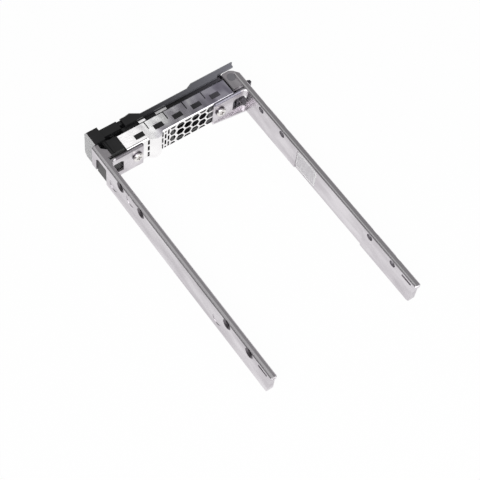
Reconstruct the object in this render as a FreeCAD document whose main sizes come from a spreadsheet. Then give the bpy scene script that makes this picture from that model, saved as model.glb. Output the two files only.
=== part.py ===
"""Hot-swap carrier for a 2.5-inch drive: two cast rails, a front frame, a shield and a lever.

The row frame: X runs from the hinge side (-X) to the button side (+X), Y runs from the
front face to the rear of the rails and Z points up. X = 0 is the middle of the drive bay,
Y = 0 the front end of the button-side rail and Z = 0 the underside of the front frame.
"""
import FreeCAD, Part
import math
import os
from types import SimpleNamespace
import Sketcher
from FreeCAD import Placement, Rotation, Vector

os.makedirs("parts", exist_ok=True)
doc = FreeCAD.newDocument("drive_carrier")

# ----------------------------------------------------------------- driving dimensions
SIZES = [
    ("drive_width", 69.85, "2.5-inch drive, across"),
    ("drive_play", 0.125, "gap between drive and rail, each side"),
    ("rail_wall", 2.9, "rail, across"),
    ("rail_height", 14.2, "rail, top to bottom"),
    ("rail_length", 128.5, "rail, front end to rear end"),
    ("rail_lift", 0.3, "rail underside above the frame's underside"),
    ("gusset_reach", 2.1, "gusset over the latch, from the rail's inner face"),
    ("gusset_rear", 7.9, "rear end of the gusset"),
    ("gusset_front", 2.4, "front end of the gusset at the rail"),
    ("gusset_slant", 1.9, "slanted front corner of the gusset"),
    ("gusset_wall", 1.2, "gusset, thickness"),
    ("rail_edge", 0.45, "chamfer along the rail's top edges"),
    ("rail_round", 0.9, "rounding of the rail's rear end"),
    ("rail_heel", 1.8, "rounding under the rail's rear end"),
    ("nose_reach", 1.1, "rail top beyond the foot of the rear end"),
    ("nose_high", 1.7, "nose at the top of the rear end, height"),
    ("toe_rise", 1.6, "underside of the rail's front end above the rest"),
    ("hole_first", 21.9, "rail front to the first drive hole"),
    ("hole_step", 15.1, "first drive hole to the second"),
    ("drive_pitch", 76.6, "front hole to rear hole of one drive"),
    ("hole_drop", 2.3, "rail top to the drive holes"),
    ("hole_radius", 1.7, "clearance hole for an M3 screw"),
    ("head_radius", 2.6, "countersink for the screw's head"),
    ("pad_front", 48.0, "rail front to the relief in the inner face"),
    ("pad_rear", 94.5, "rail front to the end of the relief"),
    ("pad_depth", 0.55, "depth of the relief"),
    ("pad_rim", 1.2, "rail top to the top of the relief"),
    ("tab_front", 9.35, "front face of the rail's cross tab"),
    ("tab_wall", 1.0, "cross tab, thickness"),
    ("tab_reach", 16.85, "cross tab, inner face of the rail to its end"),
    ("tab_bend", 2.0, "inner radius between tab and rail"),
    ("tab_corner", 1.2, "corner radius of the tab's end"),
    ("window_front", 3.3, "front edge of the rail's side window"),
    ("window_rear", 11.2, "rear edge of the rail's side window"),
    ("window_head", 3.1, "window to the rail top"),
    ("window_slant", 1.8, "slanted upper corner of the side window"),
    ("key_sunk", 0.7, "frame's key in the side window, below the outer face"),
    ("key_play", 0.15, "frame's key in the side window, clearance all round"),
    ("mark_sunk", 0.15, "depth of the round ejector marks"),
    ("mark_radius", 2.9, "ejector marks, radius"),
    ("gate_reach", 6.5, "window in the tab, from the rail's inner face"),
    ("gate_play", 0.45, "window in the tab round the ejector tooth"),
    ("gate_slant", 1.0, "slanted upper corner of the window in the hinge-side tab"),
    ("foot_wall", 0.9, "web along the foot of the hinge-side tab, thickness"),
    ("foot_reach", 2.2, "web along the foot of the hinge-side tab, at the rail"),
    ("slot_long", 5.8, "rear slot, length"),
    ("slot_in", 2.9, "rear slot to the rail's rear end"),
    ("slot_high", 1.4, "rear slot, height"),
    ("slot_drop", 2.05, "rail top to the middle of the rear slot"),
    ("tab_screw_in", 16.3, "tab screw from the rail's outer face"),
    ("tab_screw_up", 7.8, "tab screw above the rail's underside"),
    ("tab_screw_radius", 1.45, "tab screw, shank radius"),
    ("tab_head_radius", 2.4, "tab screw, head radius"),
    ("tab_head_high", 1.5, "tab screw, head height"),
    ("tab_screw_long", 6.0, "tab screw, length under the head"),
    ("shield_wall", 0.3, "spring-steel shield, thickness"),
    ("shield_end_a", 12.0, "button-side end of the shield from the rail's outer face"),
    ("shield_end_b", 8.7, "hinge-side end of the shield from the rail's outer face"),
    ("shield_bend", 1.0, "outer radius of the shield's folds"),
    ("finger_count", 5.0, "spring fingers on each flange"),
    ("finger_slit", 0.5, "slit between two fingers"),
    ("finger_front", 1.0, "crease of the front lip"),
    ("finger_root", 5.0, "end of the slits"),
    ("finger_first", 12.35, "first slit from the middle of the bay"),
    ("finger_pitch", 9.78, "slit to slit"),
    ("lip_reach", 0.8, "front lip, front to rear"),
    ("lip_drop", 0.55, "front lip, down to its edge"),
    ("hook_reach", 1.4, "hooks before the lip, front to rear"),
    ("hook_narrow", 3.3, "hook before the first slit, across"),
    ("hook_broad", 5.6, "hook before the second slit, across"),
    ("key_wide", 4.6, "rectangular hole of a finger, across"),
    ("key_deep", 2.6, "rectangular hole of a finger, front to rear"),
    ("key_shift", 0.4, "rectangular hole off the finger's middle, to the button side"),
    ("key_middle", 5.7, "rectangular hole of a finger, its middle"),
    ("bead_place", 26.4, "middle of the plain bead from the rail's outer face"),
    ("bead_radius", 4.3, "outer radius of the bead"),
    ("bead_rise", 1.7, "bead, how far it stands behind the plate"),
    ("cell_flat", 3.7, "hexagonal hole, across flats"),
    ("cell_web", 0.8, "web between two hexagonal holes"),
    ("cell_rim", 0.75, "plain rim above and below the holes"),
    ("cell_first", 2.65, "first full column of holes from the middle of the bay"),
    ("cell_pairs", 3.0, "pairs of columns of full holes"),
    ("cell_squeeze", 1.6, "half width of the holes in the first column"),
    ("slot_cell", 0.9, "slim holes beside the bead, width"),
    ("slot_first", 2.3, "first column to the nearest slim holes"),
    ("slot_pitch", 1.55, "slim holes, column to column"),
    ("frame_front", -2.0, "front face of the front frame"),
    ("frame_wall", 1.5, "walls and ribs of the front frame"),
    ("frame_step", 1.4, "end of the frame's full height, behind the front lip"),
    ("frame_lower", 0.95, "front of the frame below its full height"),
    ("boss_half", 2.2, "half width of a screw boss"),
    ("housing_gap", 0.15, "latch housing to the gusset"),
    ("housing_top", 0.6, "latch housing below the rail top"),
    ("housing_front", 0.2, "front face of the latch housing"),
    ("housing_slope", 2.0, "slope at the rear of the latch housing"),
    ("rib_high", 0.45, "ribs on the latch housing, height"),
    ("rib_wide", 1.5, "broad rib on the latch housing, its widest"),
    ("rib_rear", 7.2, "rear end of the broad rib"),
    ("rib_thin", 0.4, "narrow rib on the latch housing, width"),
    ("bezel_rear", -0.3, "rear face of the end block"),
    ("bezel_corner", 1.6, "chamfer under the end block's front"),
    ("bezel_over", 0.7, "front end block above the rail top"),
    ("bezel_front", -7.2, "front face of the end block"),
    ("bezel_inset", 1.0, "end block from the rail's outer face"),
    ("block_edge", 7.1, "end block, its inner side from the rail's outer face"),
    ("cover_wall", 0.8, "pale end plate, thickness"),
    ("pivot_in", 4.5, "lever pivot from the rail's outer face"),
    ("pivot_back", 1.4, "lever pivot behind the rail front"),
    ("pin_radius", 1.5, "hinge pin radius"),
    ("pin_rim", 0.45, "rim of the hinge pin's head"),
    ("pin_sunk", 0.6, "hinge pin, head height"),
    ("cheek_wall", 2.2, "hinge cheek, thickness"),
    ("cheek_drop", 0.35, "hinge cheek below the rail top"),
    ("cheek_edge", 0.3, "chamfer along the cheek's free side"),
    ("nose_slant", 1.4, "slanted front corner of the hinge-side rail"),
    ("cheek_nose", 3.5, "hinge cheek, radius round the pivot"),
    ("cheek_in", 7.65, "hinge cheek, inner side from the rail's outer face"),
    ("cheek_rear", 7.4, "hinge cheek, rear side"),
    ("hinge_front", 0.3, "front end of the hinge-side rail"),
    ("knuckle_wall", 1.4, "lever knuckle round its pin"),
    ("spring_room", 1.8, "height of the knuckle's neck, inside the spring"),
    ("washer_wall", 0.3, "hinge washer, thickness"),
    ("washer_rim", 1.1, "hinge washer round its pin"),
    ("axial_gap", 0.1, "clearance between a washer and the knuckle"),
    ("pin_fit", 0.05, "running clearance of the knuckle on its pin, per side"),
    ("neck_wall", 0.5, "neck of the knuckle round its pin"),
    ("coil_gap", 0.28, "lever spring off the neck"),
    ("coil_wire", 0.22, "lever spring, wire radius"),
    ("coil_pitch", 0.7, "lever spring, pitch"),
    ("coil_turns", 1.75, "lever spring, turns"),
    ("tooth_back", 4.0, "ejector tooth behind the pivot"),
    ("tooth_reach", 7.4, "ejector tooth tip, centre, beyond the pivot"),
    ("tooth_radius", 1.1, "ejector tooth, tip radius"),
    ("tooth_foot", 3.5, "ejector tooth above the rail's underside"),
    ("grip_gap", 0.45, "handle's rear edge to the hinge cheeks"),
    ("grip_rear", -1.45, "rear edge of the handle elsewhere"),
    ("grip_back_end", 9.2, "start of the hinge stretch from the rail's outer face"),
    ("grip_end", 17.95, "latch end of the handle from the rail's outer face"),
    ("grip_front", -5.3, "front of the handle by the hinge"),
    ("grip_waist", -3.95, "front of the handle's slim stretch"),
    ("grip_bump", -6.5, "front of the finger bump"),
    ("grip_tip", -6.1, "front of the handle's latch end"),
    ("bump_near", 22.95, "crest of the finger bump from the rail's outer face"),
    ("bump_far", 27.0, "foot of the finger bump from the rail's outer face"),
    ("waist_end", 24.65, "end of the slim stretch from the hinge side's outer face"),
    ("waist_ramp", 2.9, "ramp beside the slim stretch, across"),
    ("grip_open", 6.0, "open end of the handle from the hinge side's outer face"),
    ("grip_rim", 2.4, "rim beside the open end, height"),
    ("grip_skin", 1.3, "handle wall"),
    ("grip_lip", 1.2, "handle's upper and lower flange"),
    ("grip_edge", 0.7, "chamfer along the handle's front edges"),
    ("notch_front", -4.45, "notch in the handle's hinge end, its front"),
    ("notch_rear", -3.15, "notch in the handle's hinge end, its rear"),
    ("notch_deep", 1.3, "notch in the handle's hinge end, depth"),
    ("notch_short", 0.9, "handle's rear prong short of its front prong"),
    ("tongue_reach", 1.9, "latch tongue, across"),
    ("beam_rear", -2.35, "rear face of the lever's beam"),
    ("beam_short", 1.0, "end of the lever's beam before the handle narrows"),
    ("beam_inset", 0.2, "lever's beam inside the knuckle's ends"),
    ("grip_screw_radius", 0.8, "handle screw, shank radius"),
    ("grip_head_radius", 1.5, "handle screw, head radius"),
    ("grip_screw_a", 11.4, "first handle screw from the hinge side's outer face"),
    ("grip_screw_b", 15.4, "second handle screw from the hinge side's outer face"),
    ("grip_under", 0.3, "handle below the rail's underside"),
    ("grip_over", 0.5, "handle above the rail top"),
    ("vent_count", 9.0, "vent slots in the handle"),
    ("vent_wide", 1.6, "vent slot, width"),
    ("vent_high", 8.6, "vent slot, height"),
    ("vent_pitch", 2.6, "vent slot to vent slot"),
    ("button_front", -6.1, "front face of the release button"),
    ("button_in", 16.1, "inner side of the release button from the rail's outer face"),
    ("button_drop", 0.1, "top of the release button below the rail top"),
    ("stem_out", 8.0, "outer side of the button's stem from the rail's outer face"),
    ("stem_wide", 3.2, "button stem, across"),
    ("stem_high", 5.0, "button stem, height"),
    ("stem_rear", 4.6, "rear end of the button stem"),
    ("button_travel", 1.6, "release button travel"),
    ("button_stop", 0.35, "button head to the latch housing when pressed home"),
    ("button_play", 0.25, "clearance round the release button"),
    ("push_radius", 1.2, "button spring, mean radius"),
    ("push_wire", 0.2, "button spring, wire radius"),
    ("push_turns", 3.0, "button spring, turns"),
    ("pipe_size", 1.5, "light pipe, square section"),
    ("pipe_rear", 8.6, "rear end of the light pipes"),
    ("pipe_gap", 0.3, "light pipes to the latch housing"),
    ("pipe_pitch", 3.4, "lower light pipe to upper light pipe"),
]

sheet = doc.addObject("Spreadsheet::Sheet", "Dims")
for row, (alias, value, note) in enumerate(SIZES, start=1):
    sheet.set("A%d" % row, alias)
    sheet.set("B%d" % row, str(value))
    sheet.set("C%d" % row, note)
    sheet.setAlias("B%d" % row, alias)
doc.recompute()


class Size:
    """A length that carries its number and the sheet expression that gives it."""

    def __init__(self, text, number):
        self.text = text
        self.number = number

    def __float__(self):
        return self.number

    def __add__(self, other):
        other = as_size(other)
        return Size("(%s + %s)" % (self.text, other.text), self.number + other.number)

    def __sub__(self, other):
        other = as_size(other)
        return Size("(%s - %s)" % (self.text, other.text), self.number - other.number)

    def __mul__(self, other):
        other = as_size(other)
        return Size("(%s * %s)" % (self.text, other.text), self.number * other.number)

    def __truediv__(self, other):
        other = as_size(other)
        return Size("(%s / %s)" % (self.text, other.text), self.number / other.number)

    def __neg__(self):
        return as_size(0) - self

    def __radd__(self, other):
        return as_size(other) + self

    def __rsub__(self, other):
        return as_size(other) - self

    def __rmul__(self, other):
        return as_size(other) * self


def as_size(value):
    """A plain number as a Size; a Size stays as it is."""
    return value if isinstance(value, Size) else Size(repr(float(value)), float(value))


d = SimpleNamespace(**{alias: Size("Dims." + alias, float(sheet.get(alias))) for alias, _, _ in SIZES})

# Places that several pieces share.
INNER = d.drive_width / 2 + d.drive_play
OUTER = INNER + d.rail_wall
RAIL_TOP = d.rail_lift + d.rail_height
TAB_REAR = d.tab_front + d.tab_wall
TAB_END = INNER - d.tab_reach
SCREW_X = OUTER - d.tab_screw_in
SCREW_Z = d.rail_lift + d.tab_screw_up
SHIELD_A = OUTER - d.shield_end_a
SHIELD_B = -1 * (OUTER - d.shield_end_b)
FRAME_REAR = d.tab_front - d.shield_wall
FRAME_FOOT = d.rail_lift + d.shield_wall
FRAME_HEAD = RAIL_TOP - d.shield_wall
PIVOT_X = -1 * (OUTER - d.pivot_in)
CHEEK_LOW = d.rail_lift + d.cheek_wall
CHEEK_HIGH = RAIL_TOP - d.cheek_wall
CHEEK_TOP = RAIL_TOP - d.cheek_drop
BLOCK_OUT = OUTER - d.bezel_inset
BLOCK_IN = OUTER - d.block_edge
MIDDLE = d.rail_lift + d.rail_height / 2
HOUSING_X = INNER - d.gusset_reach - d.housing_gap
HOUSING_TOP = RAIL_TOP - d.housing_top
BUTTON_REAR = d.housing_front - d.button_travel - d.button_stop
LIP = d.finger_front - d.lip_reach
STEM_OUT = OUTER - d.stem_out
STEM_IN = STEM_OUT - d.stem_wide
STEM_LOW = MIDDLE - d.stem_high / 2
WELL_REAR = FRAME_REAR - d.frame_wall / 2
PIPE_X = HOUSING_X + d.pipe_gap
PIPE_LOW = MIDDLE - (d.pipe_pitch + d.pipe_size) / 2
KNUCKLE_LOW = CHEEK_LOW + d.washer_wall + d.axial_gap
KNUCKLE_HIGH = CHEEK_HIGH - d.washer_wall - d.axial_gap
KNUCKLE_STEP = KNUCKLE_HIGH - d.spring_room
TOOTH_FOOT = d.rail_lift + d.tooth_foot
PIN_HEAD = d.pin_radius + d.pin_rim
KNUCKLE = d.pin_radius + d.knuckle_wall
NECK = d.pin_radius + d.neck_wall
BEAM_FOOT = KNUCKLE_LOW + d.beam_inset
BEAM_HEAD = KNUCKLE_HIGH - d.beam_inset
GRIP_FOOT = d.rail_lift - d.grip_under
GRIP_HEAD = RAIL_TOP + d.grip_over
GRIP_BACK = d.pivot_back - d.cheek_nose - d.grip_gap
BEZEL_HEAD = RAIL_TOP + d.bezel_over


# ----------------------------------------------------------------- modelling helpers
def bind(item, prop, size):
    """Set a property and tie it to the sheet."""
    size = as_size(size)
    setattr(item, prop, size.number)
    item.setExpression(prop, size.text)


def new_body(label):
    body = doc.addObject("PartDesign::Body", label)
    body.Label = label
    return body


def new_sketch(body, role, offset=0):
    """Sketch on one of the body's own origin planes, moved along the plane's normal."""
    sketch = body.newObject("Sketcher::SketchObject", body.Name + "_sketch")
    plane = next(item for item in body.Origin.OriginFeatures if item.Role == role)
    sketch.AttachmentSupport = (plane, "")
    sketch.MapMode = "FlatFace"
    offset = as_size(offset)
    sketch.AttachmentOffset = Placement(Vector(0, 0, offset.number), Rotation())
    sketch.setExpression("AttachmentOffset.Base.z", offset.text)
    return sketch


def dimension(sketch, kind, item, spot, size):
    """One signed distance from the sketch origin, tied to the sheet."""
    size = as_size(size)
    index = sketch.addConstraint(Sketcher.Constraint(kind, -1, 1, item, spot, size.number))
    sketch.setExpression("Constraints[%d]" % index, size.text)


def place(sketch, item, spot, point):
    dimension(sketch, "DistanceX", item, spot, point[0])
    dimension(sketch, "DistanceY", item, spot, point[1])


def polygon(sketch, points):
    """Closed outline; each corner is dimensioned from the origin."""
    first = sketch.GeometryCount
    corners = [Vector(float(as_size(px)), float(as_size(py)), 0) for px, py in points]
    count = len(corners)
    for index, corner in enumerate(corners):
        sketch.addGeometry(Part.LineSegment(corner, corners[(index + 1) % count]), False)
    for index, point in enumerate(points):
        following = first + (index + 1) % count
        sketch.addConstraint(Sketcher.Constraint("Coincident", first + index, 2, following, 1))
        place(sketch, first + index, 1, point)


def rectangle(sketch, low_x, low_y, high_x, high_y):
    polygon(sketch, [(low_x, low_y), (high_x, low_y), (high_x, high_y), (low_x, high_y)])


def circle(sketch, centre, radius):
    radius = as_size(radius)
    at = Vector(float(as_size(centre[0])), float(as_size(centre[1])), 0)
    item = sketch.addGeometry(Part.Circle(at, Vector(0, 0, 1), radius.number), False)
    place(sketch, item, 3, centre)
    index = sketch.addConstraint(Sketcher.Constraint("Radius", item, radius.number))
    sketch.setExpression("Constraints[%d]" % index, radius.text)


def pad(body, sketch, length, reverse=False):
    """Add material from the sketch along its normal, or against it."""
    feature = body.newObject("PartDesign::Pad", body.Name + "_pad")
    feature.Profile = sketch
    feature.Reversed = reverse
    bind(feature, "Length", length)
    doc.recompute()
    return feature


def pocket(body, sketch, length, along=False):
    """Remove material against the sketch's normal, or along it; it must remove something."""
    before = body.Shape.Volume
    feature = body.newObject("PartDesign::Pocket", body.Name + "_pocket")
    feature.Profile = sketch
    feature.Reversed = along
    bind(feature, "Length", length)
    doc.recompute()
    if body.Shape.Volume > before - 1e-4:
        raise RuntimeError("a pocket of %s removes nothing" % body.Label)
    return feature


def repeat(body, feature, spacing, count, back=False):
    """Repeat a pad or pocket along X, the direction of its own sketch's first axis."""
    pattern = body.newObject("PartDesign::LinearPattern", body.Name + "_pattern")
    pattern.Originals = [feature]
    pattern.Direction = (feature.Profile[0], ["H_Axis"])
    pattern.Reversed = back
    bind(pattern, "Length", spacing * (count - 1))
    pattern.Occurrences = int(as_size(count).number)
    pattern.setExpression("Occurrences", as_size(count).text)
    body.Tip = pattern
    doc.recompute()


def pick_edges(shape, test):
    return ["Edge%d" % number for number, edge in enumerate(shape.Edges, start=1) if test(edge)]


def dress(body, kind, size_name, size, test):
    """Fillet or chamfer the edges of the body's last feature that pass the test."""
    base = body.Tip
    names = pick_edges(base.Shape, test)
    if not names:
        raise RuntimeError("no edge of %s to finish" % body.Label)
    feature = body.newObject(kind, body.Name + "_edge")
    feature.Base = (base, names)
    bind(feature, size_name, size)
    doc.recompute()


def fillet(body, radius, test):
    dress(body, "PartDesign::Fillet", "Radius", radius, test)


def chamfer(body, size, test):
    dress(body, "PartDesign::Chamfer", "Size", size, test)


def runs_along(edge, axis):
    """True for a straight edge parallel to X (0), Y (1) or Z (2)."""
    if edge.Curve.TypeId != "Part::GeomLine":
        return False
    ends = [vertex.Point for vertex in edge.Vertexes]
    return all(abs(ends[0][k] - ends[1][k]) < 1e-4 for k in range(3) if k != axis)


def is_at(edge, **places):
    """True where the edge's middle has the given x, y or z."""
    middle = edge.CenterOfMass
    near = {"x": middle.x, "y": middle.y, "z": middle.z}
    return all(abs(near[key] - float(value)) < 1e-3 for key, value in places.items())


# ----------------------------------------------------------------- rails
def rail(label, side, front):
    """Cast rail: a flat bar with a cross tab, a side window, drive holes and a rear slot."""
    body = new_body(label)
    outer = side * OUTER
    inner = side * INNER
    end = side * TAB_END
    away = 1 if side > 0 else -1

    plan = new_sketch(body, "XY_Plane", d.rail_lift)
    polygon(plan, [(outer, front), (outer, d.rail_length), (inner, d.rail_length),
                   (inner, TAB_REAR), (end, TAB_REAR), (end, d.tab_front),
                   (inner, d.tab_front), (inner, front)])
    pad(body, plan, d.rail_height)
    fillet(body, d.tab_bend, lambda e: runs_along(e, 2) and is_at(e, x=inner, y=TAB_REAR))
    fillet(body, d.tab_corner, lambda e: runs_along(e, 1) and is_at(e, x=end, z=RAIL_TOP))
    web_end = d.rail_length - d.nose_reach
    heel = new_sketch(body, "YZ_Plane", outer + 0.5 * away)
    polygon(heel, [(web_end, d.rail_lift - 1), (d.rail_length + 1, d.rail_lift - 1),
                   (d.rail_length + 1, RAIL_TOP - d.nose_high), (d.rail_length, RAIL_TOP - d.nose_high),
                   (web_end, RAIL_TOP - d.nose_high - d.nose_reach)])
    pocket(body, heel, d.rail_wall + 1.0, along=side < 0)
    fillet(body, d.rail_heel, lambda e: runs_along(e, 0) and is_at(e, y=web_end, z=d.rail_lift))
    fillet(body, d.rail_round, lambda e: runs_along(e, 2) and is_at(e, y=d.rail_length))
    chamfer(body, d.rail_edge,
            lambda e: runs_along(e, 1) and e.Length > float(d.drive_pitch)
            and is_at(e, z=RAIL_TOP))

    relief = new_sketch(body, "XY_Plane", d.rail_lift - 1)
    deep = side * (INNER + d.pad_depth)
    rectangle(relief, side * (INNER - 1), d.pad_front, deep, d.pad_rear)
    pocket(body, relief, d.rail_height + 1 - d.pad_rim, along=True)

    gate = new_sketch(body, "XZ_Plane", -1 * (TAB_REAR + d.tab_bend + 0.5))
    gate_end = side * (INNER - d.gate_reach)
    gate_top = KNUCKLE_STEP + d.gate_play
    polygon(gate, [(gate_end, TOOTH_FOOT - d.gate_play), (inner, TOOTH_FOOT - d.gate_play),
                   (inner, gate_top), (gate_end + side * d.gate_slant, gate_top),
                   (gate_end, gate_top - d.gate_slant)])
    pocket(body, gate, d.tab_wall + d.tab_bend + 1.0, along=True)

    screw = new_sketch(body, "XZ_Plane", -1 * (TAB_REAR + 0.5))
    circle(screw, (side * SCREW_X, SCREW_Z), d.tab_screw_radius + 0.1)
    pocket(body, screw, d.tab_wall + 1.0, along=True)

    slot = new_sketch(body, "YZ_Plane", outer + 0.5 * away)
    slot_rear = d.rail_length - d.slot_in
    rectangle(slot, slot_rear - d.slot_long, RAIL_TOP - d.slot_drop - d.slot_high / 2,
              slot_rear, RAIL_TOP - d.slot_drop + d.slot_high / 2)
    pocket(body, slot, d.rail_wall + 1.0, along=side < 0)
    return body


def drive_holes(body, side):
    """Four countersunk screw holes, two for each place a drive can sit."""
    marks = new_sketch(body, "YZ_Plane", side * OUTER)
    height = RAIL_TOP - d.hole_drop
    for first in (d.hole_first, d.hole_first + d.hole_step):
        circle(marks, (first, height), d.hole_radius)
        circle(marks, (first + d.drive_pitch, height), d.hole_radius)
    doc.recompute()
    before = body.Shape.Volume
    hole = body.newObject("PartDesign::Hole", body.Name + "_hole")
    hole.Profile = marks
    hole.ThreadType = "None"
    hole.HoleCutType = "Countersink"
    hole.HoleCutCustomValues = True
    hole.DepthType = "Dimension"
    hole.DrillPoint = "Flat"
    hole.HoleCutCountersinkAngle = 90
    hole.Reversed = side < 0
    bind(hole, "Diameter", 2 * d.hole_radius)
    bind(hole, "HoleCutDiameter", 2 * d.head_radius)
    bind(hole, "Depth", d.rail_wall + 1)
    doc.recompute()
    if body.Shape.Volume > before - 1:
        raise RuntimeError("the drive holes of %s remove nothing" % body.Label)


def button_side_rail():
    front = as_size(0)
    body = rail("button_side_rail", 1, front)
    gusset = new_sketch(body, "XY_Plane", RAIL_TOP - d.gusset_wall)
    polygon(gusset, [(INNER, d.gusset_front), (INNER, d.gusset_rear),
                     (INNER - d.gusset_reach, d.gusset_rear),
                     (INNER - d.gusset_reach, d.gusset_front + d.gusset_slant)])
    pad(body, gusset, d.gusset_wall)
    window = new_sketch(body, "YZ_Plane", OUTER + 0.5)
    toe = d.rail_lift + d.toe_rise
    head = RAIL_TOP - d.window_head
    polygon(window, [(front - 1, d.rail_lift - 1), (d.window_rear, d.rail_lift - 1),
                     (d.window_rear, head), (d.window_front + d.window_slant, head),
                     (d.window_front, head - d.window_slant), (d.window_front, toe),
                     (front - 1, toe)])
    pocket(body, window, d.rail_wall + 0.5)
    marks = new_sketch(body, "YZ_Plane", OUTER + 0.5)
    low = MIDDLE - d.window_slant / 2
    between = (d.hole_first + d.hole_first + d.hole_step) / 2
    for along_rail, height in ((between, RAIL_TOP - d.window_head), (d.window_rear * 1.5, low),
                               (between + d.drive_pitch - 2 * d.hole_radius * 4, low)):
        circle(marks, (along_rail, height), d.mark_radius)
    pocket(body, marks, d.mark_sunk + 0.5)
    drive_holes(body, 1)
    return body


def hinge_side_rail():
    """The rail that carries the lever: two cheeks round the pivot and an open front."""
    body = rail("hinge_side_rail", -1, d.hinge_front)
    outer = -1 * OUTER
    lug_in = -1 * (OUTER - d.cheek_in)
    chamfer(body, d.nose_slant, lambda e: runs_along(e, 2) and is_at(e, x=outer, y=d.hinge_front))
    foot = new_sketch(body, "XY_Plane", d.rail_lift)
    tab_end = -1 * TAB_END
    polygon(foot, [(outer + d.rail_wall / 2, d.tab_front), (tab_end, d.tab_front), (tab_end, TAB_REAR),
                   (outer + d.rail_wall / 2, TAB_REAR + d.foot_reach)])
    pad(body, foot, d.foot_wall)
    for low, high in ((d.rail_lift, CHEEK_LOW), (CHEEK_HIGH, CHEEK_TOP)):
        cheek = new_sketch(body, "XY_Plane", low)
        nose = d.pivot_back - d.cheek_nose
        polygon(cheek, [(outer, d.pivot_back), (outer, d.cheek_rear), (lug_in, d.cheek_rear),
                        (lug_in, nose + 0.6), (lug_in - 0.6, nose), (PIVOT_X - 0.9, nose),
                        (PIVOT_X - 2.5, nose + 1.0)])
        pad(body, cheek, high - low)
    chamfer(body, d.cheek_edge, lambda e: runs_along(e, 1) and is_at(e, x=lug_in, z=CHEEK_TOP))
    gate = new_sketch(body, "YZ_Plane", outer - 0.5)
    rectangle(gate, d.hinge_front - 1, CHEEK_LOW, d.window_rear, CHEEK_HIGH)
    pocket(body, gate, d.rail_wall + 0.5, along=True)
    bore = new_sketch(body, "XY_Plane", RAIL_TOP + 1)
    circle(bore, (PIVOT_X, d.pivot_back), d.pin_radius + 0.02)
    pocket(body, bore, d.rail_height + 2)
    seat = new_sketch(body, "XY_Plane", RAIL_TOP + 1)
    circle(seat, (PIVOT_X, d.pivot_back), PIN_HEAD + 0.05)
    pocket(body, seat, 1 + d.cheek_drop + d.pin_sunk)
    drive_holes(body, -1)
    return body


# ----------------------------------------------------------------- shield
def cell(sketch, x, z, low, high, half_wide=None, slim=False):
    """One hole of the shield: a hexagon, or a slim slot, cut off at the plain rims."""
    corner = d.cell_flat / math.sqrt(3) if half_wide is None else half_wide
    foot = z - d.cell_flat / 2
    head = z + d.cell_flat / 2
    foot = low if foot.number < low.number else foot
    head = high if head.number > high.number else head
    if head.number - foot.number < 0.5:
        return
    if slim:
        inset = d.cell_web / 4
        rectangle(sketch, x - corner, foot + inset, x + corner, head - inset)
        return
    at_foot = corner * (1 - abs_size(z - foot) / d.cell_flat)
    at_head = corner * (1 - abs_size(head - z) / d.cell_flat)
    points = [(x - at_foot, foot), (x + at_foot, foot)]
    if foot.number < z.number < head.number:
        points.append((x + corner, z))
    points += [(x + at_head, head), (x - at_head, head)]
    if foot.number < z.number < head.number:
        points.append((x - corner, z))
    polygon(sketch, points)


def abs_size(size):
    return size if size.number >= 0 else -size


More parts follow.
